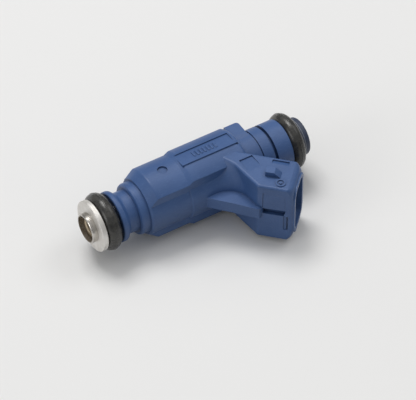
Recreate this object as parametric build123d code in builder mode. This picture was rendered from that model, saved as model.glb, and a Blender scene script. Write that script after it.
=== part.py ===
"""Top-feed fuel injector, millimetres.

The injector lies on its side.  +X runs along the valve axis from the spray
tip to the fuel inlet, +Z is up and the electrical connector points to -Y.
Round parts are drawn as half sections (axial position, radius) and revolved.
"""
import math
import os

from build123d import *

os.makedirs("parts", exist_ok=True)

# ---------------------------------------------------------------- seals
o_ring_tube = 1.765            # half of the 3.53 mm cord
o_ring_centre = 5.53           # centre line radius of the ring
lower_o_ring_x = 0.0
lower_o_ring_half = 1.95       # the lower ring is squeezed a little wider
upper_o_ring_x = 52.15
seat_r = o_ring_centre - o_ring_tube - 0.005

# ---------------------------------------------------------------- spray end
tip_x = -4.85                   # face of the valve body boss
tip_bore_r = 3.3
tip_floor_x = -2.75             # shoulder that carries the valve seat
washer_x0 = -3.35
washer_x1 = -2.15
washer_r = 6.5
washer_round = 0.12
collar_x0 = 2.35
collar_x1 = 6.6
collar_r = 6.48
collar_shoulder_x = 3.2
collar_end_x = 4.15             # where the flange turns into the sleeve
neck_r = 5.3

# ---------------------------------------------------------------- housing
step_x0 = 7.25
step_r = 6.6
step_round = 0.7
front_x = 9.55
front_r = 7.2
cone_x = 11.85
band1_r = 8.8                  # top and bottom bands, first length
band1_x = 20.55
band2_x = 21.75
band2_r = 9.4                  # top and bottom bands, second length
band_end_x = 37.55
band_round = 1.35
edge_round = 0.45
band_half_width = 6.0
side1_r = 7.45                 # round sides between the bands
side2_r = 7.75
side_step_x = 20.55
shank_r = 6.5                  # cylinder behind the bands
shank_x1 = 50.35
line_groove_x = 42.3
line_groove_width = 0.35
line_groove_depth = 0.3
clip_groove_x0 = 45.25
clip_groove_x1 = 46.05
clip_groove_r = 5.5
lug_x0 = 37.85                  # squared lug on the far side
lug_x1 = 41.85
lug_half_height = 6.65
lug_y0 = 1.0
lug_y1 = 6.5
lug_slope = 1.3                 # how far the near side slopes
lug_drop = 0.25                 # and by how much it falls
lug_corner = 0.9
lug_round = 0.3

label_x0 = 21.15
label_x1 = 36.15
label_y0 = -2.05
label_y1 = 2.4
label_z0 = 9.56                # the pad is tilted: proud at y0, sunk at y1
label_z1 = 8.8
pit_r = 0.3
pit_depth = 0.6
spot_x = 16.65
spot_r = 1.25
spot_depth = 0.5

# ---------------------------------------------------------------- connector
plug_angle = 45.0              # socket direction, from +X towards -Y
corner_x = 33.35                # outer corner of the connector block
corner_y = -16.4
block_long = 7.15              # block edge along the socket direction
block_wide = 10.4              # block edge across the socket direction
block_half = 8.6
root_x = 31.95
root_y = -3.0
block_round = 0.65
corner_round = 0.95
mouth_c = 9.0
lip_c = 8.65
shoulder_c = 7.95
shoulder_wide = 10.3
shoulder_half = 8.2
shoulder_round = 1.6
mouth_wide = 9.5
mouth_half = 7.3
mouth_round = 3.0
socket_wide = 7.4
socket_half = 6.2
socket_round = 2.2
socket_floor_c = 0.6
key_rib_wide = 1.0
key_rib_high = 0.55
key_rib_z = 2.5

web_round = 6.0                # hollow corner between the side and the block
web_x = 33.1

block_inner_c = -8.8           # where the inner long face ends inside the body

fin_half = 1.6
fin_x0 = 23.95
fin_outer = ((24.55, -7.75), (28.45, -12.0), (32.6, -16.9), (33.2, -17.4))
fin_nose_c = 1.0
panel_depth = 0.2
slot_depth = 1.2
upper_panel = ((1.1, 1.0), (6.8, 1.2), (6.7, 6.35), (1.2, 6.35))
lower_panel = ((6.35, -0.4), (7.5, -0.4), (7.5, -4.8), (6.35, -4.8))
slot_outline = ((0.65, 1.1), (6.9, 1.3), (6.4, -0.3), (1.3, -0.4))
ramp_w = 3.7                   # where the latch ramp stands, across the block
ramp_wide = 2.0
ramp_c0 = 0.9
ramp_c1 = 3.1
ramp_c2 = 4.7
ramp_high = 1.35
sink_x0 = 34.0
sink_x1 = 37.65
sink_y0 = -11.2
sink_y1 = -6.8
sink_depth = 0.35
edge_sink_c0 = 1.5
edge_sink_c1 = 5.7
edge_sink_w0 = 8.3
edge_sink_w1 = 9.55
mark_c = 5.05
mark_w = 2.15
mark_r = 1.25
mark_line = 0.4
mark_dot = 0.4
mark_high = 0.25

# ---------------------------------------------------------------- terminals
blade_wide = 2.8
blade_thick = 0.8
blade_z = 2.5
blade_bend_c = -4.4
blade_tip_c = 7.4
tail_y = -4.9                  # tail that runs into the coil carrier
tail_x0 = 30.35
tail_x1 = 33.05

# ---------------------------------------------------------------- metal core
can_x0 = 10.75
can_floor = 1.2
can_x1 = 29.75
can_r = 6.8
can_bore = 6.2
spigot_r = 3.0                 # valve body and inlet tube inside the coil
body_top_x = 13.35
pole_x = 14.15
gap_ring_x0 = 12.75
gap_ring_x1 = 14.75
gap_ring_r = 3.5
armature_r = 2.5
armature_bore = 2.54
armature_x0 = 7.15
armature_x1 = 14.05
valve_bore = 2.2
seat_bore = 2.9
seat_top_x = 2.55

ball_r = 1.5
ball_x = 0.65
seat_angle = 45.0
outlet_r = 0.55
guide_r = 1.53
needle_r = 0.95
needle_bore = 0.55
needle_x1 = 10.55
spring_pocket_r = 1.45
spring_pocket_x = 11.55
spring_wire = 0.22
spring_r = 1.12
spring_x1 = 19.65
spring_turns = 11
sleeve_x1 = 27.15
sleeve_bore = 0.7
tube_bore = 1.5
tube_step_x = 32.15
tube_wide_bore = 2.9
tube_wide_x = 41.65
tube_x1 = 55.5

bobbin_bore = 3.55
bobbin_barrel = 4.0
bobbin_flange_r = 6.15
bobbin_flange = 1.0
bobbin_x0 = 12.0
bobbin_x1 = 28.45
coil_r = 5.85
washer_notch = 4.35

end_ring_x0 = 53.95
end_ring_x1 = 56.1
end_ring_r = 4.9
end_ring_round = 0.5
end_ring_mouth = 3.1

filter_x0 = 42.55
ferrule_x0 = 52.55
cage_r = 2.3
cage_bore = 1.9
cage_ring = 1.2
rib_count = 4
rib_wide = 0.8

# ---------------------------------------------------------------- planes
turn = math.radians(plug_angle)
along = Vector(math.cos(turn), -math.sin(turn), 0)
across = Vector(math.sin(turn), math.cos(turn), 0)
corner = Vector(corner_x, corner_y, 0)


def in_plan(c, w):
    """World point at distance c along and w across the connector block."""
    point = corner + along * c + across * w
    return (point.X, point.Y)


blade_tip = in_plan(blade_tip_c, block_wide / 2)
blade_bend = in_plan(blade_bend_c, block_wide / 2)


def socket_plane(c):
    """Plane across the socket at distance c from the block corner."""
    middle = corner + along * c + across * (block_wide / 2)
    return Plane(origin=middle, x_dir=across, z_dir=along)


# Plan view of the connector: local x along the socket, local y across it.
plan = Plane(origin=corner, x_dir=along, z_dir=(0, 0, 1))
# Outer long face of the block: local x along the socket, local y up.
face = Plane(origin=corner, x_dir=along, z_dir=across * -1)


def export(part, name):
    """Write one sub-part to its own STEP file."""
    part.label = name
    export_step(part, "parts/" + name + ".step")


# ================================================================ terminals
with BuildPart() as terminal_upper:
    with BuildSketch(Plane.XY.offset(blade_z - blade_wide / 2)):
        with BuildLine():
            Polyline(blade_tip, blade_bend, (tail_x1, tail_y), (tail_x0, tail_y))
        trace(line_width=blade_thick)
    extrude(amount=blade_wide)
    blade_end = terminal_upper.faces().sort_by(Axis(corner, along))[-1]
    chamfer(blade_end.edges().filter_by(Axis.Z), 0.2)

with BuildPart() as terminal_lower:
    add(terminal_upper.part.mirror(Plane.XY))

# ================================================================ valve body
with BuildPart() as valve_body:
    with BuildSketch():
        with BuildLine():
            Polyline(
                (tip_x, tip_bore_r),
                (tip_x, seat_r - 0.15),
                (tip_x + 0.15, seat_r),
                (can_x0 + can_floor, seat_r),
                (can_x0 + can_floor, spigot_r),
                (body_top_x, spigot_r),
                (body_top_x, armature_bore),
                (armature_x0 - 0.6, armature_bore),
                (armature_x0 - 0.6, valve_bore),
                (seat_top_x, valve_bore),
                (seat_top_x, seat_bore),
                (tip_floor_x, seat_bore),
                (tip_floor_x, tip_bore_r),
                close=True,
            )
        make_face()
    revolve(axis=Axis.X)

# ================================================================ valve seat
seat_contact_x = ball_x - ball_r * math.sin(math.radians(seat_angle))
seat_contact_r = ball_r * math.cos(math.radians(seat_angle))
cone_small_x = seat_contact_x - (seat_contact_r - outlet_r)
cone_large_x = seat_contact_x + (guide_r - seat_contact_r)

with BuildPart() as valve_seat:
    with BuildSketch():
        with BuildLine():
            Polyline(
                (tip_floor_x, outlet_r),
                (tip_floor_x, seat_bore),
                (seat_top_x, seat_bore),
                (seat_top_x, guide_r + 0.3),
                (seat_top_x - 0.3, guide_r),
                (cone_large_x, guide_r),
                (cone_small_x, outlet_r),
                close=True,
            )
        make_face()
    revolve(axis=Axis.X)
    with Locations(Location((cone_large_x, 0, 0), (0, 90, 0))):
        with PolarLocations(guide_r + 0.35, 4):
            Cylinder(
                radius=0.42,
                height=seat_top_x - cone_large_x,
                align=(Align.CENTER, Align.CENTER, Align.MIN),
                mode=Mode.SUBTRACT,
            )

# ================================================================ spray plate
plate_thick = 0.2
plate_x0 = tip_floor_x - plate_thick
hole_circle_r = 0.38
hole_r = 0.11
with BuildPart() as orifice_plate:
    with BuildSketch(Plane.YZ.offset(plate_x0)):
        Circle(tip_bore_r - 0.15)
        with PolarLocations(hole_circle_r, 4, start_angle=45):
            Circle(hole_r, mode=Mode.SUBTRACT)
    extrude(amount=plate_thick)

with BuildPart() as plate_retainer:
    with BuildSketch():
        with BuildLine():
            Polyline(
                (plate_x0, 1.5),
                (plate_x0, tip_bore_r),
                (plate_x0 - 0.7, tip_bore_r),
                (plate_x0 - 0.7, 2.6),
                (plate_x0 - 0.45, 2.1),
                (plate_x0 - 0.45, 1.5),
                close=True,
            )
        make_face()
    revolve(axis=Axis.X)

# ================================================================ spray end washer
with BuildPart() as nozzle_washer:
    with BuildSketch():
        with Locations(((washer_x0 + washer_x1) / 2, (washer_r + seat_r) / 2)):
            Rectangle(washer_x1 - washer_x0, washer_r - seat_r)
    revolve(axis=Axis.X)
    front_rim = nozzle_washer.edges().filter_by(GeomType.CIRCLE).group_by(Axis.X)[0]
    fillet(front_rim.sort_by(SortBy.RADIUS)[-1], washer_round)

# ================================================================ O-rings
with BuildPart() as lower_o_ring:
    with BuildSketch():
        with Locations((lower_o_ring_x, o_ring_centre)):
            Ellipse(lower_o_ring_half, o_ring_tube)
    revolve(axis=Axis.X)

with BuildPart() as upper_o_ring:
    with BuildSketch():
        with Locations((upper_o_ring_x, o_ring_centre)):
            Circle(o_ring_tube)
    revolve(axis=Axis.X)

# ================================================================ backing collar
with BuildPart() as backing_collar:
    with BuildSketch():
        with BuildLine():
            bottom = Line((collar_x1, seat_r), (collar_x0, seat_r))
            front = Line(bottom @ 1, (collar_x0, collar_r - 0.2))
            edge = Line(front @ 1, (collar_x0 + 0.2, collar_r))
            rim = Line(edge @ 1, (collar_shoulder_x, collar_r))
            turn_r = (collar_r + neck_r) / 2
            brow = TangentArc(rim @ 1, (collar_end_x, turn_r), tangent=(1, 0))
            hollow = TangentArc(brow @ 1, (2 * collar_end_x - collar_shoulder_x, neck_r), tangent=brow % 1)
            sleeve = Line(hollow @ 1, (collar_x1, neck_r))
            Line(sleeve @ 1, bottom @ 0)
        make_face()
    revolve(axis=Axis.X)

# ================================================================ moving valve
with BuildPart() as valve_ball:
    with Locations((ball_x, 0, 0)):
        Sphere(ball_r)
    with Locations((ball_x + 1.3, 0, 0)):
        Box(
            1,
            2 * ball_r,
            2 * ball_r,
            align=(Align.MIN, Align.CENTER, Align.CENTER),
            mode=Mode.SUBTRACT,
        )

needle_x0 = ball_x + 1.3
with BuildPart() as valve_needle:
    with BuildSketch():
        with Locations(((needle_x0 + needle_x1) / 2, (needle_r + needle_bore) / 2)):
            Rectangle(needle_x1 - needle_x0, needle_r - needle_bore)
    revolve(axis=Axis.X)
    with Locations(Location((needle_x0 + 2.0, 0, 0), (90, 0, 0))):
        Cylinder(radius=0.3, height=2.4, mode=Mode.SUBTRACT)

with BuildPart() as armature:
    with BuildSketch():
        with BuildLine():
            Polyline(
                (armature_x0, needle_r),
                (armature_x0, armature_r - 0.4),
                (armature_x0 + 0.4, armature_r),
                (armature_x1, armature_r),
                (armature_x1, spring_pocket_r),
                (spring_pocket_x, spring_pocket_r),
                (spring_pocket_x, needle_bore),
                (needle_x1, needle_bore),
                (needle_x1, needle_r),
                close=True,
            )
        make_face()
    revolve(axis=Axis.X)

# ================================================================ return spring
spring_x0 = spring_pocket_x + spring_wire
spring_length = spring_x1 - spring_wire - spring_x0
with BuildPart() as return_spring:
    with BuildLine() as coil:
        Helix(
            pitch=spring_length / spring_turns,
            height=spring_length,
            radius=spring_r,
            center=(spring_x0, 0, 0),
            direction=(1, 0, 0),
        )
    with BuildSketch(Plane(origin=coil.line @ 0, z_dir=coil.line % 0)):
        Circle(spring_wire)
    sweep(path=coil.line, is_frenet=True)

with BuildPart() as adjusting_sleeve:
    with BuildSketch():
        with Locations(((spring_x1 + sleeve_x1) / 2, (tube_bore + sleeve_bore) / 2)):
            Rectangle(sleeve_x1 - spring_x1, tube_bore - sleeve_bore)
    revolve(axis=Axis.X)
    with Locations(((spring_x1 + sleeve_x1) / 2, tube_bore, 0)):
        Box(sleeve_x1 - spring_x1, 2 * tube_bore, 0.4, mode=Mode.SUBTRACT)

# ================================================================ fuel tube
with BuildPart() as inlet_tube:
    with BuildSketch():
        with BuildLine():
            Polyline(
                (pole_x, tube_bore),
                (pole_x, spigot_r),
                (can_x1, spigot_r),
                (can_x1, seat_r),
                (tube_x1 - 0.3, seat_r),
                (tube_x1, seat_r - 0.3),
                (tube_x1, tube_wide_bore),
                (tube_wide_x, tube_wide_bore),
                (tube_wide_x - 1.2, tube_bore + 0.3),
                (tube_step_x, tube_bore + 0.3),
                (tube_step_x - 0.3, tube_bore),
                close=True,
            )
        make_face()
    revolve(axis=Axis.X)

with BuildPart() as gap_ring:
    with BuildSketch():
        with BuildLine():
            Polyline(
                (gap_ring_x0, spigot_r),
                (gap_ring_x0, gap_ring_r),
                (gap_ring_x1, gap_ring_r),
                (gap_ring_x1, spigot_r),
                (pole_x, spigot_r),
                (pole_x, armature_bore),
                (body_top_x, armature_bore),
                (body_top_x, spigot_r),
                close=True,
            )
        make_face()
    revolve(axis=Axis.X)

# ================================================================ solenoid
with BuildPart() as magnet_can:
    with BuildSketch():
        with BuildLine():
            Polyline(
                (can_x0, seat_r),
                (can_x0, can_r - 0.6),
                (can_x0 + 0.6, can_r),
                (can_x1, can_r),
                (can_x1, can_bore),
                (can_x0 + can_floor, can_bore),
                (can_x0 + can_floor, seat_r),
                close=True,
            )
        make_face()
    revolve(axis=Axis.X)

carrier_x1 = can_x1 + 2.4
carrier_y0 = -5.9
carrier_y1 = -3.9
carrier_half = 4.3
with BuildPart() as coil_bobbin:
    with BuildSketch():
        with BuildLine():
            Polyline(
                (bobbin_x0, bobbin_bore),
                (bobbin_x0, bobbin_flange_r),
                (bobbin_x0 + bobbin_flange, bobbin_flange_r),
                (bobbin_x0 + bobbin_flange, bobbin_barrel),
                (bobbin_x1 - bobbin_flange, bobbin_barrel),
                (bobbin_x1 - bobbin_flange, bobbin_flange_r),
                (bobbin_x1, bobbin_flange_r),
                (bobbin_x1, bobbin_bore),
                close=True,
            )
        make_face()
    revolve(axis=Axis.X)
    with BuildSketch(Plane.YZ.offset(bobbin_x1)):
        Circle(bobbin_flange_r)
        with Locations((carrier_y1, 0)):
            Rectangle(
                2 * bobbin_flange_r,
                2 * carrier_half,
                align=(Align.MAX, Align.CENTER),
                mode=Mode.INTERSECT,
            )
    extrude(amount=can_x1 - bobbin_x1)
    with Locations((can_x1, carrier_y1, 0)):
        Box(
            carrier_x1 - can_x1,
            carrier_y1 - carrier_y0,
            2 * carrier_half,
            align=(Align.MIN, Align.MAX, Align.CENTER),
        )
    add(terminal_upper.part, mode=Mode.SUBTRACT)
    add(terminal_lower.part, mode=Mode.SUBTRACT)

with BuildPart() as coil_winding:
    with BuildSketch():
        coil_width = bobbin_x1 - bobbin_x0 - 2 * bobbin_flange
        with Locations(((bobbin_x0 + bobbin_x1) / 2, (bobbin_barrel + coil_r) / 2)):
            Rectangle(coil_width, coil_r - bobbin_barrel)
    revolve(axis=Axis.X)

with BuildPart() as flux_washer:
    with BuildSketch(Plane.YZ.offset(bobbin_x1)):
        Circle(can_bore)
        Circle(spigot_r, mode=Mode.SUBTRACT)
        with Locations((-can_bore - 0.5, 0)):
            Rectangle(
                can_bore + 0.5 + carrier_y1,
                2 * washer_notch,
                align=(Align.MIN, Align.CENTER),
                mode=Mode.SUBTRACT,
            )
    extrude(amount=can_x1 - bobbin_x1)

# ================================================================ fuel filter
cage_x1 = ferrule_x0 + 0.8
with BuildPart() as filter_cage:
    with BuildSketch():
        with BuildLine():
            Polyline(
                (filter_x0, 0),
                (filter_x0, cage_r - 0.5),
                (filter_x0 + 0.5, cage_r),
                (cage_x1, cage_r),
                (cage_x1, cage_bore),
                (filter_x0 + cage_ring, cage_bore),
                (filter_x0 + cage_ring, 0),
                close=True,
            )
        make_face()
    revolve(axis=Axis.X)
    with BuildSketch(Plane.YZ.offset(filter_x0 + cage_ring)):
        Circle(cage_r + 0.1)
        Circle(cage_bore - 0.1, mode=Mode.SUBTRACT)
        with PolarLocations(0, rib_count):
            Rectangle(
                cage_r + 0.2,
                rib_wide,
                align=(Align.MIN, Align.CENTER),
                mode=Mode.SUBTRACT,
            )
    extrude(amount=ferrule_x0 - cage_ring - filter_x0 - cage_ring, mode=Mode.SUBTRACT)

with BuildPart() as filter_screen:
    with BuildSketch():
        screen_x0 = filter_x0 + cage_ring
        with Locations(((screen_x0 + cage_x1) / 2, cage_bore - 0.05)):
            Rectangle(cage_x1 - screen_x0, 0.1)
    revolve(axis=Axis.X)

with BuildPart() as filter_ferrule:
    with BuildSketch():
        with BuildLine():
            Polyline(
                (ferrule_x0, cage_r),
                (ferrule_x0, tube_wide_bore),
                (tube_x1 - 0.6, tube_wide_bore),
                (tube_x1 - 0.6, cage_r - 0.1),
                (cage_x1, cage_r - 0.1),
                (cage_x1, cage_r),
                close=True,
            )
        make_face()
    revolve(axis=Axis.X)

# ================================================================ inlet end ring
with BuildPart() as inlet_end_ring:
    with BuildSketch():
        with BuildLine():
            Polyline(
                (end_ring_x0, seat_r),
                (end_ring_x0, end_ring_r),
                (end_ring_x1, end_ring_r),
                (end_ring_x1, end_ring_mouth),
                (tube_x1, end_ring_mouth),
                (tube_x1, seat_r),
                close=True,
            )
        make_face()
    revolve(axis=Axis.X)
    outer_rim = inlet_end_ring.edges().filter_by(GeomType.CIRCLE).group_by(Axis.X)[-1]
    fillet(outer_rim.sort_by(SortBy.RADIUS)[-1], end_ring_round)

# ================================================================ connector block
# Ring with a hollow flank, as wide as the corner between the side and the block.
with BuildPart() as web:
    with BuildSketch():
        with BuildLine():
            Polyline(
                (web_x, side2_r + web_round),
                (web_x + 1, side2_r + web_round),
                (web_x + 1, side2_r - 0.5),
                (web_x - web_round, side2_r - 0.5),
                (web_x - web_round, side2_r),
            )
            CenterArc((web_x - web_round, side2_r + web_round), web_round, -90, 90)
        make_face()
    revolve(axis=Axis.X)
    with Locations((web_x + 1, root_y, 0)):
        Box(
            web_round + 2,
            2 * web_round,
            2 * block_half,
            align=(Align.MAX, Align.MAX, Align.CENTER),
            mode=Mode.INTERSECT,
        )

with BuildPart() as block:
    with BuildSketch(Plane.XY.offset(-block_half)):
        with BuildLine():
            Polyline(
                in_plan(0, 0),
                in_plan(block_long, 0),
                in_plan(block_long, block_wide),
                in_plan(block_inner_c, block_wide),
                (root_x, root_y),
                close=True,
            )
        make_face()
    extrude(amount=2 * block_half)
    add(web.part)
    upright = block.edges().filter_by(Axis.Z)
    fillet(upright.sort_by_distance(corner)[0], corner_round)
    outline = block.faces().filter_by(Axis.Z).edges()
    outline = outline.filter_by(Axis(corner, across), reverse=True)
    fillet(outline.filter_by_position(Axis.Y, -30, root_y - 1.5), block_round)

    # Bevelled nose down to the rounded mouth of the socket.
    with BuildSketch(socket_plane(block_long)):
        RectangleRounded(block_wide, 2 * block_half, block_round)
    with BuildSketch(socket_plane(shoulder_c)):
        RectangleRounded(shoulder_wide, 2 * shoulder_half, shoulder_round)
    with BuildSketch(socket_plane(lip_c)):
        RectangleRounded(mouth_wide, 2 * mouth_half, mouth_round)
    loft()
    with BuildSketch(socket_plane(lip_c)):
        RectangleRounded(mouth_wide, 2 * mouth_half, mouth_round)
    extrude(amount=mouth_c - lip_c)

    # Socket with two keying ribs on its outer wall.
    with BuildSketch(socket_plane(socket_floor_c)):
        RectangleRounded(socket_wide, 2 * socket_half, socket_round)
        with Locations((-socket_wide / 2, key_rib_z), (-socket_wide / 2, -key_rib_z)):
            Rectangle(2 * key_rib_high, key_rib_wide, mode=Mode.SUBTRACT)
    extrude(amount=mouth_c - socket_floor_c - 1.2, mode=Mode.SUBTRACT)
    with BuildSketch(socket_plane(mouth_c - 1.2)):
        RectangleRounded(socket_wide, 2 * socket_half, socket_round)
    extrude(amount=2, mode=Mode.SUBTRACT)

    # Shallow panels and the slot between them on the outer long face.
    with BuildSketch(face):
        with BuildLine():
            Polyline(*upper_panel, close=True)
        make_face()
        with BuildLine():
            Polyline(*lower_panel, close=True)
        make_face()
    extrude(amount=-panel_depth, mode=Mode.SUBTRACT)
    with BuildSketch(face):
        with BuildLine():
            Polyline(*slot_outline, close=True)
        make_face()
    extrude(amount=-slot_depth, mode=Mode.SUBTRACT)

    # Latch ramps, one above and one below.
    with BuildSketch(face.offset(-ramp_w)):
        with BuildLine():
            Polyline(
                (ramp_c0, block_half - 1),
                (ramp_c0, block_half + ramp_high),
                (ramp_c1, block_half + ramp_high),
                (ramp_c2, block_half),
                (ramp_c2, block_half - 1),
                close=True,
            )
        make_face()
        mirror(about=Plane.XZ)
    extrude(amount=-ramp_wide)

    # Sinks that run out to nothing on the upper and lower faces.
    with BuildSketch(Plane.YZ.offset(sink_x0)):
        with BuildLine():
            Polyline(
                (sink_y1, block_half + 0.1),
                (sink_y1, block_half - sink_depth),
                (sink_y0, block_half),
                (sink_y0, block_half + 0.1),
                close=True,
            )
        make_face()
        mirror(about=Plane.XZ)
    extrude(amount=sink_x1 - sink_x0, mode=Mode.SUBTRACT)
    with BuildSketch(socket_plane(edge_sink_c0)):
        with BuildLine():
            Polyline(
                (edge_sink_w1 - block_wide / 2, block_half + 0.1),
                (edge_sink_w1 - block_wide / 2, block_half - sink_depth),
                (edge_sink_w0 - block_wide / 2, block_half),
                (edge_sink_w0 - block_wide / 2, block_half + 0.1),
                close=True,
            )
        make_face()
        mirror(about=Plane.XZ)
    extrude(amount=edge_sink_c1 - edge_sink_c0, mode=Mode.SUBTRACT)

    # Raised ring mark on the upper face.
    with BuildSketch(plan.offset(block_half)):
        with Locations((mark_c, mark_w)):
            Circle(mark_r)
            Circle(mark_r - mark_line, mode=Mode.SUBTRACT)
            Circle(mark_dot)
    extrude(amount=mark_high)

# ================================================================ squared lug
with BuildPart() as lug:
    with BuildSketch(Plane.YZ.offset(lug_x0)):
        with BuildLine():
            Polyline(
                (lug_y0, 0),
                (lug_y0, lug_half_height - lug_drop),
                (lug_y0 + lug_slope, lug_half_height),
                (lug_y1, lug_half_height),
                (lug_y1, 0),
            )
            mirror(about=Plane.XZ)
        make_face()
    extrude(amount=lug_x1 - lug_x0)
    far_corner = lug_x1, lug_y1, 0
    fillet(lug.edges().filter_by(Axis.Z).sort_by_distance(far_corner)[0], lug_corner)
    far_edges = lug.faces().sort_by(Axis.Z)[-1].edges() + lug.faces().sort_by(Axis.Z)[0].edges()
    fillet(far_edges.filter_by_position(Axis.Y, lug_y1 - 0.01, lug_y1 + 0.01), lug_round)

# ================================================================ moulded housing
with BuildPart() as housing:
    # Upper and lower bands.
    with BuildSketch():
        with BuildLine():
            Polyline(
                (front_x, 0),
                (front_x, front_r),
                (cone_x, band1_r),
                (band1_x, band1_r),
                (band2_x, band2_r),
                (band_end_x, band2_r),
                (band_end_x, 0),
                close=True,
            )
        make_face()
    revolve(axis=Axis.X)
    back_rim = housing.edges().filter_by(GeomType.CIRCLE).group_by(Axis.X)[-1]
    fillet(back_rim, band_round)
    rims = housing.edges().filter_by(GeomType.CIRCLE)
    fillet(rims.filter_by_position(Axis.X, cone_x - 0.01, cone_x + 0.01), edge_round)
    rims = housing.edges().filter_by(GeomType.CIRCLE)
    fillet(rims.filter_by_position(Axis.X, band2_x - 0.01, band2_x + 0.01), edge_round)
    with Locations((front_x, 0, 0)):
        Box(
            band_end_x - front_x,
            2 * band_half_width,
            3 * band2_r,
            align=(Align.MIN, Align.CENTER, Align.CENTER),
            mode=Mode.INTERSECT,
        )

    # Round sides, neck, step ring and rear shank.
    with BuildSketch():
        with BuildLine():
            Polyline(
                (collar_x1, 0),
                (collar_x1, neck_r),
                (step_x0, neck_r),
                (step_x0, step_r - step_round),
                (step_x0 + step_round * 0.3, step_r - step_round * 0.3),
                (step_x0 + step_round, step_r),
                (front_x, step_r),
                (front_x, side1_r - 0.4),
                (front_x + 0.4, side1_r),
                (side_step_x, side1_r),
                (side_step_x + 0.3, side2_r),
                (band_end_x - 0.5, side2_r),
                (band_end_x, side2_r - 0.5),
                (band_end_x, shank_r),
                (line_groove_x - line_groove_width / 2, shank_r),
                (line_groove_x - line_groove_width / 2, shank_r - line_groove_depth),
                (line_groove_x + line_groove_width / 2, shank_r - line_groove_depth),
                (line_groove_x + line_groove_width / 2, shank_r),
                (clip_groove_x0, shank_r),
                (clip_groove_x0, clip_groove_r),
                (clip_groove_x1, clip_groove_r),
                (clip_groove_x1, shank_r),
                (shank_x1, shank_r),
                (shank_x1, 0),
                close=True,
            )
        make_face()
    revolve(axis=Axis.X)
    rear_rim = housing.edges().filter_by(GeomType.CIRCLE).group_by(Axis.X)[-1]
    fillet(rear_rim, 0.25)

    # Label pad, tilted so one long side is sunk and the other stands proud.
    with BuildSketch(Plane.YZ.offset(label_x0)):
        with BuildLine():
            Polyline(
                (label_y0, band1_r - 1),
                (label_y0, label_z0),
                (label_y1, label_z1),
                (label_y1, band1_r - 1),
                close=True,
            )
        make_face()
    extrude(amount=label_x1 - label_x0)
    with BuildSketch(Plane.YZ.offset(label_x0)):
        with BuildLine():
            Polyline(
                (label_y0, band2_r + 1),
                (label_y0, label_z0),
                (label_y1, label_z1),
                (label_y1, band2_r + 1),
                close=True,
            )
        make_face()
    extrude(amount=label_x1 - label_x0, mode=Mode.SUBTRACT)
    with BuildSketch(Plane.XY.offset(band2_r)):
        with Locations((label_x1 + pit_r, label_y0)):
            Circle(pit_r)
    extrude(amount=-pit_depth, mode=Mode.SUBTRACT)

    # Round mark on the front band.
    with BuildSketch(Plane.XY.offset(band1_r)):
        with Locations((spot_x, 0)):
            Circle(spot_r)
    extrude(amount=-spot_depth, mode=Mode.SUBTRACT)

    # Gusset fin in the middle plane.
    with BuildSketch(Plane.XY.offset(-fin_half)):
        with BuildLine():
            Polyline(
                (fin_x0, -side1_r + 0.6),
                *fin_outer,
                in_plan(fin_nose_c, -0.25),
                in_plan(fin_nose_c + 0.3, 0.5),
                in_plan(1.0, 4.0),
                (root_x + 1, -side1_r + 0.6),
                close=True,
            )
        make_face()
    extrude(amount=2 * fin_half)

    add(block.part)
    add(lug.part)

    # Cavity for the metal core.
    with BuildSketch():
        with BuildLine():
            Polyline(
                (collar_x1 - 1, 0),
                (collar_x1 - 1, seat_r),
                (can_x0, seat_r),
                (can_x0, can_r - 0.6),
                (can_x0 + 0.6, can_r),
                (can_x1, can_r),
                (can_x1, seat_r),
                (shank_x1 + 1, seat_r),
                (shank_x1 + 1, 0),
                close=True,
            )
        make_face()
    revolve(axis=Axis.X, mode=Mode.SUBTRACT)
    add(coil_bobbin.part, mode=Mode.SUBTRACT)
    add(terminal_upper.part, mode=Mode.SUBTRACT)
    add(terminal_lower.part, mode=Mode.SUBTRACT)

# ================================================================ export
export(housing.part, "moulded_housing")
export(inlet_end_ring.part, "inlet_end_ring")
export(upper_o_ring.part, "upper_o_ring")
export(lower_o_ring.part, "lower_o_ring")
export(backing_collar.part, "backing_collar")
export(nozzle_washer.part, "nozzle_washer")
export(valve_body.part, "valve_body")
export(valve_seat.part, "valve_seat")
export(orifice_plate.part, "orifice_plate")
export(plate_retainer.part, "plate_retainer")
export(valve_ball.part, "valve_ball")
export(valve_needle.part, "valve_needle")
export(armature.part, "armature")
export(return_spring.part, "return_spring")
export(adjusting_sleeve.part, "adjusting_sleeve")
export(inlet_tube.part, "inlet_tube")
export(gap_ring.part, "gap_ring")
export(coil_bobbin.part, "coil_bobbin")
export(coil_winding.part, "coil_winding")
export(magnet_can.part, "magnet_can")
export(flux_washer.part, "flux_washer")
export(terminal_upper.part, "terminal_upper")
export(terminal_lower.part, "terminal_lower")
export(filter_ferrule.part, "filter_ferrule")
export(filter_cage.part, "filter_cage")
export(filter_screen.part, "filter_screen")
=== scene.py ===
import math

import bmesh
import bpy
from mathutils import Matrix, Vector


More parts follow.
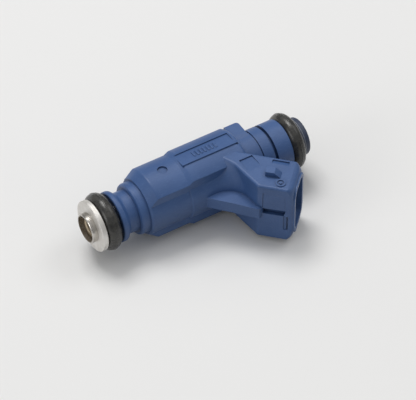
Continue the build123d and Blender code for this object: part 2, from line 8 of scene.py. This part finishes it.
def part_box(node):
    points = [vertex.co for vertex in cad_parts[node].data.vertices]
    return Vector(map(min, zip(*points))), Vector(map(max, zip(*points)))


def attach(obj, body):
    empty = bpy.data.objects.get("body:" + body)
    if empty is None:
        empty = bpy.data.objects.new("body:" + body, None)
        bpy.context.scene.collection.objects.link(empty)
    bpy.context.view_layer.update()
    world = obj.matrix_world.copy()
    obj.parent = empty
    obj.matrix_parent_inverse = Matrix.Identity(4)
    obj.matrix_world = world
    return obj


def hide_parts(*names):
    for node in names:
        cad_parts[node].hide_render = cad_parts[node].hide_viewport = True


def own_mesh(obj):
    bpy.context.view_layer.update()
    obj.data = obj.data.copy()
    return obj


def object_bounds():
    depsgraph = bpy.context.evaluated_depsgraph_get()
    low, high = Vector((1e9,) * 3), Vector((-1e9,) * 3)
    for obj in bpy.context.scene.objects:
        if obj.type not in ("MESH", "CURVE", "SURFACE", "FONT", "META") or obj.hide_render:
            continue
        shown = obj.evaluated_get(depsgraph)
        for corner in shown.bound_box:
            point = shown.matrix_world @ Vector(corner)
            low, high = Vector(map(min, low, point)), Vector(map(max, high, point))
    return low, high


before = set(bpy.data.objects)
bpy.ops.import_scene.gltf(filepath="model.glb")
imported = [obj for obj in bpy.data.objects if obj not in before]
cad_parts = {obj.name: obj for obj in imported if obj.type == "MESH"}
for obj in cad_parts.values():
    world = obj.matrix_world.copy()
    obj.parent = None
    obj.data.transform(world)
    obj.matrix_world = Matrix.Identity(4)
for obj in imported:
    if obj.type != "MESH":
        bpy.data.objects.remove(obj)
cad_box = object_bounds()

# A fuel injector lying on a pale floor. Lengths are in metres. +X runs along the valve's axis
# from the spray tip to the fuel inlet, +Z is up and the electrical connector points to -Y.

MM = 0.001
INJECTOR = "injector"               # the body that every added piece rides on
TURN = 2 * math.pi

BROWN_BORE_RADIUS = 3.4 * MM              # the brown inside the spray tip's bore reaches this radius
BROWN_BORE_END = -2.8 * MM                # and this far along the axis
BROWN_BORE_FADE = 0.1 * MM

SMOOTH_BELOW = math.radians(40)     # edges that bend more than this stay sharp
RING_STEPS = 160                    # flats round a turned ring
LINE_ROOT = 0.25 * MM               # how deep a raised line is rooted in its ring

SEAM_HALF_WIDTH = 0.25 * MM         # mould seam round each O-ring
SEAM_SINK = 0.045 * MM
SEAM_HEIGHT = 0.12 * MM
SEAM_POINTS = 9

BEAD_FROM_END = 1.42 * MM           # bead round the ring at the fuel inlet
BEAD_HALF_WIDTH = 0.14 * MM
BEAD_SINK = 0.03 * MM
BEAD_HEIGHT = 0.09 * MM
BEAD_POINTS = 7

SPRING_WIRE = 0.22 * MM             # radius of the wire
SPRING_TURNS = 11
SPRING_CLOSED_TURNS = 1.25          # at each end
SPRING_CLOSED_PITCH = 2.06          # in wire radii
SPRING_STEPS = 32                   # a turn
SPRING_SIDES = 12

PAD_NEAR = Vector((0, -2.05 * MM, 9.56 * MM))     # long edges of the tilted label pad
PAD_FAR = Vector((0, 2.4 * MM, 8.8 * MM))
BAR_COUNT = 7
BAR_X = 25.5 * MM
BAR_PITCH = 1.0 * MM
BAR_WIDTH = 0.46 * MM
BAR_LENGTH = 1.9 * MM
BAR_START = 1.35 * MM               # from the pad's near edge
BAR_BEVEL = 0.05 * MM
BAR_LEVELS = ((-0.1 * MM, 0.0), (0.16 * MM, 0.0), (0.20 * MM, BAR_BEVEL))    # height, inset

FLOOR_REACH = 6.0
FLOOR_GAP = 0.00001
CLOUD_SIZE = 0.12
FLECK_SIZE = 0.0006
FLECK_DEPTH = 0.00001

HORIZON_LIGHT = 0.14
OVERHEAD_LIGHT = 0.58
LIGHT_DISTANCE = 1.2
LIGHT_WIDTH = 0.6
LIGHT_HEIGHT = 0.5

IMAGE_WIDTH = 416.0
FOCAL_LENGTH = 3000.0               # in the same units as the image width
SENSOR_WIDTH = 36.0
CAMERA_PLACE = Vector((-0.23721706, -0.43521965, 0.51913513))
CAMERA_RIGHT = Vector((0.85266, -0.52247, 0.0))
CAMERA_DOWN = Vector((-0.37553, -0.61286, -0.69526))
CAMERA_AHEAD = Vector((0.36325, 0.59281, -0.71876))
AHEAD = Vector((0.52247, 0.85266, 0.0))           # level, away from the camera
UP = Vector((0.0, 0.0, 1.0))


# ---------------------------------------------------------------- materials

class Shader:
    """A node material. Positions are in the object's own frame, which is the CAD frame."""

    def __init__(self, name, **principled):
        self.mat = bpy.data.materials.new(name)
        self.mat.use_nodes = True
        self.tree = self.mat.node_tree
        self.bsdf = self.tree.nodes["Principled BSDF"]
        self.place = self.add("ShaderNodeTexCoord").outputs["Object"]
        for name, value in principled.items():
            self.set(name.replace("_", " "), value)

    def add(self, kind, **settings):
        node = self.tree.nodes.new(kind)
        for key, value in settings.items():
            setattr(node, key, value)
        return node

    def plug(self, socket, value):
        """Feed a socket from another socket or with a plain value."""
        if isinstance(value, bpy.types.NodeSocket):
            self.tree.links.new(value, socket)
        else:
            socket.default_value = value

    def set(self, name, value):
        self.plug(self.bsdf.inputs[name], value)

    def noise(self, size, detail, stretch=(1.0, 1.0, 1.0)):
        """Noise of about size metres a patch, drawn out along each axis by stretch."""
        scaled = self.add("ShaderNodeMapping")
        self.plug(scaled.inputs["Vector"], self.place)
        scaled.inputs["Scale"].default_value = [1.0 / (size * s) for s in stretch]
        node = self.add("ShaderNodeTexNoise")
        self.plug(node.inputs["Vector"], scaled.outputs["Vector"])
        node.inputs["Scale"].default_value = 1.0
        node.inputs["Detail"].default_value = detail
        return node.outputs["Fac"]

    def sums(self, operation, first, second=0.0, clamp=False):
        node = self.add("ShaderNodeMath", operation=operation, use_clamp=clamp)
        self.plug(node.inputs[0], first)
        self.plug(node.inputs[1], second)
        return node.outputs[0]

    def plus(self, first, second):
        return self.sums("ADD", first, second)

    def times(self, first, second):
        return self.sums("MULTIPLY", first, second)

    def spread(self, value, low, high, start=0.0, end=1.0):
        """Value, from start to end, mapped to low to high."""
        node = self.add("ShaderNodeMapRange")
        for index, number in enumerate((value, start, end, low, high)):
            self.plug(node.inputs[index], number)
        return node.outputs[0]

    def mix(self, amount, first, second):
        """The first colour at amount 0, the second at 1."""
        node = self.add("ShaderNodeMix", data_type="RGBA")
        self.plug(node.inputs[0], amount)
        self.plug(node.inputs[6], first)
        self.plug(node.inputs[7], second)
        return node.outputs[2]

    def axes(self):
        """The x, y and z of the point."""
        node = self.add("ShaderNodeSeparateXYZ")
        self.plug(node.inputs[0], self.place)
        return node.outputs

    def radius(self):
        """Distance from the injector's axis."""
        x, y, z = self.axes()
        return self.sums("SQRT", self.plus(self.times(y, y), self.times(z, z)))

    def waves(self, value, pitch):
        """0 to 1 and back, once every pitch metres of value. The third input is 0.5 as it comes."""
        turns = self.times(value, TURN / pitch)
        return self.sums("MULTIPLY_ADD", self.sums("SINE", turns), 0.5)

    def rounded(self, radius):
        """The normal of the surface with its edges rounded by radius."""
        node = self.add("ShaderNodeBevel", samples=6)
        node.inputs["Radius"].default_value = radius
        return node.outputs[0]

    def edges(self, radius):
        """1 on an outside edge, 0 on a flat face."""
        facing = self.add("ShaderNodeVectorMath", operation="DOT_PRODUCT")
        self.plug(facing.inputs[0], self.rounded(radius))
        self.plug(facing.inputs[1], self.add("ShaderNodeNewGeometry").outputs["Normal"])
        bent = self.sums("SUBTRACT", 1.0, facing.outputs["Value"])
        return self.sums("MULTIPLY", bent, 5.0, clamp=True)

    def creases(self, reach):
        """0 on an open face, up to 1 in a corner or groove narrower than reach."""
        node = self.add("ShaderNodeAmbientOcclusion", samples=6)
        node.inputs["Distance"].default_value = reach
        return self.spread(node.outputs["AO"], 1.0, 0.0, 0.15, 0.85)

    def surface(self, height, depth, round_edges=0.0):
        """Bumps of the given depth, over edges that are rounded by that radius."""
        bump = self.add("ShaderNodeBump")
        bump.inputs["Distance"].default_value = depth
        self.plug(bump.inputs["Height"], height)
        if round_edges:
            self.plug(bump.inputs["Normal"], self.rounded(round_edges))
        self.set("Normal", bump.outputs[0])


def colour(red, green, blue):
    return (red, green, blue, 1.0)


def blue_nylon(name, tint=(1.0, 1.0, 1.0)):
    """Moulded glass-filled nylon: satin, with spark-eroded grain, faint flow marks, glass fibres,
    paler edges that are part wear and part painted highlight, and painted shade in its creases.
    The tint scales its red, green and blue."""

    def dyed(*blue):
        return colour(*(share * part for share, part in zip(tint, blue)))

    deep, pale = dyed(0.037, 0.090, 0.238), dyed(0.048, 0.108, 0.274)
    glass, worn_and_highlit = dyed(0.075, 0.15, 0.33), dyed(0.090, 0.16, 0.34)
    shaded = dyed(0.014, 0.032, 0.085)

    s = Shader(name, IOR=1.5)
    flow = s.noise(5 * MM, 3, stretch=(2.2, 1.0, 1.0))
    fibre = s.noise(0.32 * MM, 2, stretch=(3.0, 1.0, 1.0))
    grain = s.noise(0.09 * MM, 2)
    base = s.mix(s.spread(flow, 0.0, 1.0, 0.35, 0.65), deep, pale)
    base = s.mix(s.spread(fibre, 0.0, 0.35, 0.5, 0.75), base, glass)
    # Paler outer edges: part wear, part painted highlight.
    base = s.mix(s.times(s.edges(0.20 * MM), 0.22), base, worn_and_highlit)
    # Painted shade: darker in corners and grooves, found by ambient occlusion.
    base = s.mix(s.times(s.creases(2.4 * MM), 0.75), base, shaded)
    s.set("Base Color", base)
    s.set("Roughness", s.plus(s.spread(fibre, 0.38, 0.50), s.spread(flow, -0.04, 0.04)))
    s.surface(s.plus(s.times(grain, 0.35), s.times(fibre, 0.65)), 0.022 * MM, 0.12 * MM)
    return s.mat


def black_rubber():
    """O-ring rubber: black with a brown-grey bloom, specks of dust and a slick of oil."""
    black, brown = colour(0.026, 0.026, 0.026), colour(0.056, 0.054, 0.048)
    dusty = colour(0.07, 0.066, 0.058)

    s = Shader("black_rubber", IOR=1.5)
    bloom = s.noise(1.6 * MM, 4)
    dust = s.noise(0.2 * MM, 3)
    base = s.mix(s.spread(bloom, 0.0, 1.0, 0.35, 0.7), black, brown)
    base = s.mix(s.spread(dust, 0.0, 0.4, 0.58, 0.8), base, dusty)
    s.set("Base Color", base)
    s.set("Roughness", s.spread(bloom, 0.20, 0.34, 0.3, 0.7))
    s.surface(s.plus(dust, s.times(bloom, 0.5)), 0.02 * MM)
    return s.mat


def turned(name, pale, dark, pitch, roughness, depth, brown_bore=False):
    """Metal faced or turned about the injector's axis, with the tool's fine rings.
    Inside the spray tip's bore the metal can be made brown and not metallic, in patches."""
    s = Shader(name, Metallic=1.0)
    across = s.radius()
    along = s.axes()["X"]
    wander = s.times(s.noise(0.8 * MM, 3), 0.12 * MM)
    path = s.plus(s.plus(across, along), wander)
    fine, coarse = s.waves(path, pitch), s.waves(path, pitch * 3.7)
    rings = s.plus(fine, s.times(coarse, 0.6))
    smudge = s.noise(2.0 * MM, 4)
    base = s.mix(s.spread(smudge, 0.0, 1.0, 0.35, 0.7), pale, dark)
    s.set("Base Color", base)
    if brown_bore:
        in_bore = s.spread(across, 1.0, 0.0, BROWN_BORE_RADIUS, BROWN_BORE_RADIUS + BROWN_BORE_FADE)
        ahead = s.spread(along, 1.0, 0.0, BROWN_BORE_END, BROWN_BORE_END + BROWN_BORE_FADE)
        patches = s.spread(s.noise(0.5 * MM, 3), 0.55, 1.0, 0.35, 0.6)
        bore_brown = s.times(s.times(in_bore, ahead), patches)
        s.set("Base Color", s.mix(bore_brown, base, colour(0.15, 0.118, 0.082)))
        s.set("Metallic", s.sums("SUBTRACT", 1.0, bore_brown))
    sheen = s.spread(smudge, roughness, roughness + 0.1)
    s.set("Roughness", s.plus(sheen, s.times(rings, 0.03)))
    s.surface(rings, depth, 0.08 * MM)
    return s.mat


def drawn_wire(name, tint, roughness):
    """Drawn or rolled metal: fine streaks and a mottled sheen."""
    s = Shader(name, Metallic=1.0)
    streak = s.noise(0.12 * MM, 3, stretch=(8.0, 1.0, 1.0))
    mottle = s.noise(1.2 * MM, 3)
    darker = colour(*(0.72 * part for part in tint[:3]))
    s.set("Base Color", s.mix(s.spread(mottle, 0.0, 0.8, 0.35, 0.75), tint, darker))
    s.set("Roughness", s.spread(streak, roughness - 0.06, roughness + 0.12))
    s.surface(streak, 0.008 * MM, 0.05 * MM)
    return s.mat


def wound_copper():
    """Enamelled copper wire wound in close turns."""
    s = Shader("copper_wire", Metallic=1.0, Coat_Weight=0.6, Coat_Roughness=0.15)
    turns = s.waves(s.axes()["X"], 0.16 * MM)
    mottle = s.noise(1.0 * MM, 3)
    s.set("Base Color", s.mix(mottle, colour(0.55, 0.18, 0.07), colour(0.72, 0.30, 0.13)))
    s.set("Roughness", s.spread(turns, 0.45, 0.22))
    s.surface(turns, 0.06 * MM)
    return s.mat


def moulded_plain(name, pale, dark, roughness):
    """A plain moulded plastic with a soft grain."""
    s = Shader(name, IOR=1.5)
    flow = s.noise(2.5 * MM, 3)
    grain = s.noise(0.15 * MM, 3)
    s.set("Base Color", s.mix(s.spread(flow, 0.0, 1.0, 0.35, 0.65), pale, dark))
    s.set("Roughness", s.spread(grain, roughness - 0.06, roughness + 0.08))
    s.surface(grain, 0.015 * MM, 0.08 * MM)
    return s.mat


def woven_mesh():
    """Fine filter gauze: threads along and around the cage."""
    pitch = 0.11 * MM
    cage_radius = 2.0 * MM
    s = Shader("filter_mesh", IOR=1.55)
    x, y, z = s.axes()
    around = s.times(s.sums("ARCTAN2", y, z), cage_radius)
    threads = s.sums("MAXIMUM", s.waves(x, pitch), s.waves(around, pitch))
    s.set("Base Color", s.mix(threads, colour(0.16, 0.15, 0.13), colour(0.62, 0.60, 0.54)))
    s.set("Roughness", s.spread(threads, 0.7, 0.4))
    s.surface(threads, 0.03 * MM)
    return s.mat


MATERIALS = {
    "blue_nylon": blue_nylon("blue_nylon"),
    "black_rubber": black_rubber(),
    "turned_steel": turned(
        "turned_steel", colour(0.78, 0.765, 0.74), colour(0.68, 0.66, 0.625),
        0.46 * MM, 0.50, 0.016 * MM),
    "stainless": turned(
        "stainless", colour(0.60, 0.575, 0.54), colour(0.46, 0.435, 0.40),
        0.10 * MM, 0.17, 0.002 * MM, brown_bore=True),
    "ball_steel": drawn_wire("ball_steel", colour(0.66, 0.66, 0.66), 0.12),
    "spring_steel": drawn_wire("spring_steel", colour(0.36, 0.35, 0.34), 0.30),
    "soft_iron": turned(
        "soft_iron", colour(0.40, 0.39, 0.37), colour(0.30, 0.29, 0.27),
        0.12 * MM, 0.36, 0.005 * MM),
    "brass": turned(
        "brass", colour(0.52, 0.44, 0.32), colour(0.24, 0.19, 0.13),
        0.12 * MM, 0.30, 0.004 * MM),
    "tin_plate": drawn_wire("tin_plate", colour(0.70, 0.69, 0.66), 0.28),
    "copper_wire": wound_copper(),
    "bobbin_nylon": moulded_plain(
        "bobbin_nylon", colour(0.035, 0.035, 0.036), colour(0.055, 0.055, 0.055), 0.45),
    "filter_nylon": moulded_plain(
        "filter_nylon", colour(0.55, 0.52, 0.44), colour(0.47, 0.44, 0.37), 0.42),
    "filter_mesh": woven_mesh(),
}

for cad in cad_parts.values():
    for index, packed in enumerate(cad.data.materials):
        cad.data.materials[index] = MATERIALS[packed.name.split(".")[0]]

# The ring at the fuel inlet is a duller, darker moulding than the housing.
slate_nylon = blue_nylon("slate_nylon", (0.80, 0.48, 0.34))
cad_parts["inlet_end_ring"].data.materials[0] = slate_nylon


# ---------------------------------------------------------------- added pieces

def finish_piece(name, data, slot, material=None):
    """A mesh object from a bmesh, smooth but for its sharp edges, riding on the injector. Its
    material is the slot's own unless another is given."""
    bmesh.ops.recalc_face_normals(data, faces=data.faces)
    mesh = bpy.data.meshes.new(name)
    data.to_mesh(mesh)
    data.free()
    mesh.materials.append(material or MATERIALS[slot])
    mesh.shade_smooth()
    mesh.set_sharp_from_angle(angle=SMOOTH_BELOW)
    made = bpy.data.objects.new(name, mesh)
    bpy.context.scene.collection.objects.link(made)
    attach(made, INJECTOR)
    return made


def join_loops(data, loop, following):
    """A strip of faces between two closed loops of as many points."""
    for index in range(len(loop)):
        other = (index + 1) % len(loop)
        data.faces.new((loop[index], loop[other], following[other], following[index]))


def about_axis(angle):
    """The direction out from the injector's axis, angle round from straight up."""
    return Vector((0, -math.sin(angle), math.cos(angle)))


def turned_ring(name, outline, slot, material=None):
    """A closed outline of (x, radius), turned about the injector's axis."""
    data = bmesh.new()
    rows = []
    for step in range(RING_STEPS):
        outward = about_axis(TURN * step / RING_STEPS)
        rows.append([data.verts.new(outward * r + Vector((x, 0, 0))) for x, r in outline])
    for row, following in zip(rows, rows[1:] + rows[:1]):
        join_loops(data, row, following)
    return finish_piece(name, data, slot, material)


def raised_line(middle, radius, half_width, sink, height, points):
    """Outline of a low rounded line round a ring of that radius, rooted inside it."""
    outline = []
    for step in range(points):
        share = step / (points - 1)
        x = middle + (2 * share - 1) * half_width
        outline.append((x, radius - sink + height * math.sin(math.pi * share)))
    outline.append((middle, radius - LINE_ROOT))
    return outline


for seal in ("lower_o_ring", "upper_o_ring"):
    low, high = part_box(seal)
    seam = raised_line(
        (low.x + high.x) / 2, high.z, SEAM_HALF_WIDTH, SEAM_SINK, SEAM_HEIGHT, SEAM_POINTS)
    turned_ring(seal + "_seam", seam, "black_rubber")

# A low raised bead round the inlet ring, in a much paler grey-blue nylon.
end_ring_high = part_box("inlet_end_ring")[1]
bead = raised_line(
    end_ring_high.x - BEAD_FROM_END, end_ring_high.z,
    BEAD_HALF_WIDTH, BEAD_SINK, BEAD_HEIGHT, BEAD_POINTS)
turned_ring("inlet_ring_bead", bead, "blue_nylon", blue_nylon("pale_bead_nylon", (4.6, 2.2, 1.0)))


def coiled_spring(node):
    """A compression spring with closed end turns in the space of a CAD spring."""
    low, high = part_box(node)
    length = high.x - low.x
    coil_radius = high.z - SPRING_WIRE
    closed_pitch = SPRING_CLOSED_PITCH * SPRING_WIRE
    open_turns = SPRING_TURNS - 2 * SPRING_CLOSED_TURNS
    open_length = length - 2 * SPRING_WIRE - 2 * SPRING_CLOSED_TURNS * closed_pitch
    steps = SPRING_TURNS * SPRING_STEPS
    data = bmesh.new()
    loops = []
    for step in range(steps + 1):
        turn = SPRING_TURNS * step / steps
        x = low.x + SPRING_WIRE + min(turn, SPRING_CLOSED_TURNS) * closed_pitch
        x += min(max(turn - SPRING_CLOSED_TURNS, 0), open_turns) / open_turns * open_length
        x += max(turn - SPRING_TURNS + SPRING_CLOSED_TURNS, 0) * closed_pitch
        outward = about_axis(TURN * turn)
        loop = []
        for side in range(SPRING_SIDES):
            around = TURN * side / SPRING_SIDES
            reach = coil_radius + SPRING_WIRE * math.cos(around)
            along = Vector((x + SPRING_WIRE * math.sin(around), 0, 0))
            loop.append(data.verts.new(outward * reach + along))
        loops.append(loop)
    for loop, following in zip(loops, loops[1:]):
        join_loops(data, loop, following)
    data.faces.new(reversed(loops[0]))
    data.faces.new(loops[-1])
    spring = finish_piece(node + "_coil", data, "spring_steel")
    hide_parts(node)
    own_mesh(spring)


coiled_spring("return_spring")


def label_bars():
    """Plain raised bars on the tilted label pad."""
    up_pad = (PAD_FAR - PAD_NEAR).normalized()
    out_of_pad = Vector((1, 0, 0)).cross(up_pad)
    foot = PAD_NEAR + up_pad * BAR_START
    data = bmesh.new()
    for index in range(BAR_COUNT):
        x = BAR_X + index * BAR_PITCH
        loops = []
        for height, inset in BAR_LEVELS:
            loop = []
            for side, end in ((-1, 0), (1, 0), (1, 1), (-1, 1)):
                across = side * (BAR_WIDTH / 2 - inset)
                reach = BAR_LENGTH * end + (inset if end == 0 else -inset)
                corner = foot + up_pad * reach + out_of_pad * height
                loop.append(data.verts.new(corner + Vector((x + across, 0, 0))))
            loops.append(loop)
        data.faces.new(reversed(loops[0]))
        data.faces.new(loops[-1])
        for lower, upper in zip(loops, loops[1:]):
            join_loops(data, lower, upper)
    finish_piece("label_bars", data, "blue_nylon")


label_bars()


# ---------------------------------------------------------------- floor, light and camera

low, high = cad_box
middle = (low + high) / 2


def paper():
    """Pale paper with faint clouds and flecks. Light that bounces off it is dimmer than what the
    camera sees."""
    pale, paler = colour(0.800, 0.797, 0.793), colour(0.815, 0.812, 0.806)
    s = Shader("pale_paper", Roughness=0.85, IOR=1.3)
    cloud = s.noise(CLOUD_SIZE, 2)
    fleck = s.noise(FLECK_SIZE, 2)
    bounced = s.add("ShaderNodeLightPath").outputs["Is Diffuse Ray"]
    seen = s.mix(s.spread(cloud, 0.0, 1.0, 0.3, 0.7), pale, paler)
    s.set("Base Color", s.mix(bounced, seen, colour(0.45, 0.445, 0.43)))
    s.surface(fleck, FLECK_DEPTH)
    return s.mat


def lay_floor():
    """A wide square just under the injector."""
    z = low.z - FLOOR_GAP
    corners = [(x * FLOOR_REACH, y * FLOOR_REACH, z) for x, y in ((-1, -1), (1, -1), (1, 1), (-1, 1))]
    mesh = bpy.data.meshes.new("floor")
    mesh.from_pydata(corners, [], [(0, 1, 2, 3)])
    mesh.materials.append(paper())
    floor = bpy.data.objects.new("floor", mesh)
    bpy.context.scene.collection.objects.link(floor)


def studio_world():
    """Pale light from all round, dimmer near the horizon, in front of an even pale backdrop."""
    world = bpy.data.worlds.new("studio")
    bpy.context.scene.world = world
    world.use_nodes = True
    tree = world.node_tree
    surroundings = tree.nodes["Background"]
    surroundings.inputs["Color"].default_value = colour(0.98, 0.99, 1.0)
    towards = tree.nodes.new("ShaderNodeSeparateXYZ")
    tree.links.new(tree.nodes.new("ShaderNodeTexCoord").outputs["Generated"], towards.inputs[0])
    climb = tree.nodes.new("ShaderNodeMapRange")
    climb.inputs["To Min"].default_value = HORIZON_LIGHT
    climb.inputs["To Max"].default_value = OVERHEAD_LIGHT
    tree.links.new(towards.outputs["Z"], climb.inputs["Value"])
    tree.links.new(climb.outputs[0], surroundings.inputs["Strength"])
    backdrop = tree.nodes.new("ShaderNodeBackground")
    backdrop.inputs["Color"].default_value = colour(0.80, 0.80, 0.80)
    seen = tree.nodes.new("ShaderNodeMixShader")
    tree.links.new(tree.nodes.new("ShaderNodeLightPath").outputs["Is Camera Ray"], seen.inputs[0])
    tree.links.new(surroundings.outputs[0], seen.inputs[1])
    tree.links.new(backdrop.outputs[0], seen.inputs[2])
    tree.links.new(seen.outputs[0], tree.nodes["World Output"].inputs["Surface"])


def soft_light(name, towards, watts, tint):
    """A soft box in the given direction from the injector, facing it."""
    light = bpy.data.lights.new(name, "AREA")
    light.shape = "RECTANGLE"
    light.size = LIGHT_WIDTH
    light.size_y = LIGHT_HEIGHT
    light.energy = watts
    light.color = tint
    made = bpy.data.objects.new(name, light)
    bpy.context.scene.collection.objects.link(made)
    away = towards.normalized()
    made.location = middle + away * LIGHT_DISTANCE
    made.rotation_mode = "QUATERNION"
    made.rotation_quaternion = (-away).to_track_quat("-Z", "Y")


def place_camera():
    camera = bpy.data.cameras.new("camera")
    camera.sensor_width = SENSOR_WIDTH
    camera.lens = FOCAL_LENGTH / IMAGE_WIDTH * SENSOR_WIDTH
    camera.clip_start = 0.05
    camera.clip_end = 50.0
    eye = bpy.data.objects.new("camera", camera)
    bpy.context.scene.collection.objects.link(eye)
    turn = Matrix((CAMERA_RIGHT, -CAMERA_DOWN, -CAMERA_AHEAD)).transposed()
    eye.matrix_world = Matrix.Translation(CAMERA_PLACE) @ turn.to_4x4()
    bpy.context.scene.camera = eye


lay_floor()
studio_world()
soft_light("key", AHEAD * 0.36 - CAMERA_RIGHT * 0.25 + UP, 7.2, (1.0, 0.995, 0.985))
soft_light("far_right", AHEAD * 0.35 + CAMERA_RIGHT * 0.70 + UP, 2.0, (1.0, 0.995, 0.985))
soft_light("tip_side", -CAMERA_RIGHT * 0.95 - AHEAD * 0.70 + UP * 0.45, 2.5, (1.0, 0.99, 0.975))
place_camera()

bpy.context.scene.view_settings.view_transform = "Standard"
